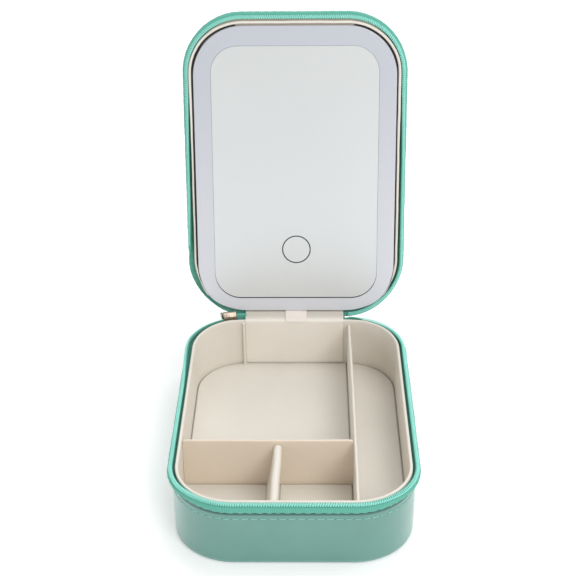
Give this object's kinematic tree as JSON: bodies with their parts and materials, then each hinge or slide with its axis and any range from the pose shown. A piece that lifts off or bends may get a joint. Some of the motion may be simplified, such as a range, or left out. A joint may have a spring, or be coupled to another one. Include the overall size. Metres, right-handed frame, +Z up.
{
  "type": "vanity box with mirror",
  "caption": "Zipped leather vanity box with rounded corners, a lighted mirror panel in its hinged lid and a divided cream tray.",
  "frame": {"origin": "centre of the underside of the case", "axes": "+Z up, +Y to the hinge at the back, +X to the right seen from the front"},
  "size_m": [0.1602, 0.294, 0.2671],
  "materials": {
    "outer_leather": "grained artificial leather, satin",
    "zip_tape": "woven tape",
    "zip_teeth": "moulded coil",
    "lining_leather": "smooth artificial leather, satin",
    "board": "grey pulp board",
    "padding": "soft foam",
    "housing": "white moulded plastic",
    "diffuser": "milky acrylic, satin",
    "mirror": "silvered glass",
    "mark": "printed line",
    "slider_metal": "plated die casting, satin",
    "copper": "foil",
    "lamp": "lamp lens",
    "circuit": "lacquered board",
    "cell": "foil pouch"
  },
  "bodies": {
    "base": {"base_cover_wall": "outer_leather", "base_cover_bottom": "outer_leather", "base_side_padding": "padding", "base_wall_board": "board", "base_floor_board": "board", "base_floor_filler": "padding", "base_lining": "lining_leather", "floor_pad_large": "lining_leather", "floor_pad_long": "lining_leather", "floor_pad_left": "lining_leather", "floor_pad_right": "lining_leather", "long_divider": "lining_leather", "cross_divider": "lining_leather", "middle_divider": "lining_leather", "divider_rail": "lining_leather", "lower_zip_tape": "zip_tape", "lower_zip_teeth": "zip_teeth", "zip_chain_end": "zip_teeth", "hinge_strip_base": "lining_leather", "hinge_leather_base": "outer_leather"},
    "lid": {"lid_cover_wall": "outer_leather", "lid_cover_top": "outer_leather", "lid_side_padding": "padding", "lid_wall_board": "board", "lid_top_board": "board", "lid_top_padding": "padding", "lid_lining": "lining_leather", "panel_spacer_frame": "padding", "upper_zip_tape": "zip_tape", "upper_zip_teeth": "zip_teeth", "hinge_strip_lid": "lining_leather", "hinge_leather_lid": "outer_leather", "lamp_housing": "housing", "light_diffuser": "diffuser", "mirror_glass": "mirror", "touch_ring": "mark", "touch_pad": "copper", "led_board_ring": "housing", "led_lamps": "lamp", "circuit_board": "circuit", "board_screws": "slider_metal", "charge_socket": "slider_metal", "battery_cell": "cell", "pull_tab": "lining_leather"},
    "slider": {"zip_slider": "slider_metal"},
    "pull": {"zip_pull": "slider_metal"}
  },
  "joints": [
    {"name": "lid_hinge", "type": "hinge", "parent": "base", "child": "lid", "pos_m": [0, 0.112, 0.048], "axis": [1, 0, 0], "range_deg": [0, 101.5]},
    {"name": "slider_travel", "type": "hinge", "parent": "base", "child": "slider", "pos_m": [-0.037, 0.069, 0.048], "axis": [0, 0, 1], "range_deg": [0, 60]},
    {"name": "pull_swing", "type": "hinge", "parent": "slider", "child": "pull", "pos_m": [-0.05194, 0.11288, 0.048], "axis": [0.9466, 0.3223, 0], "range_deg": [-12, 70]}
  ]
}
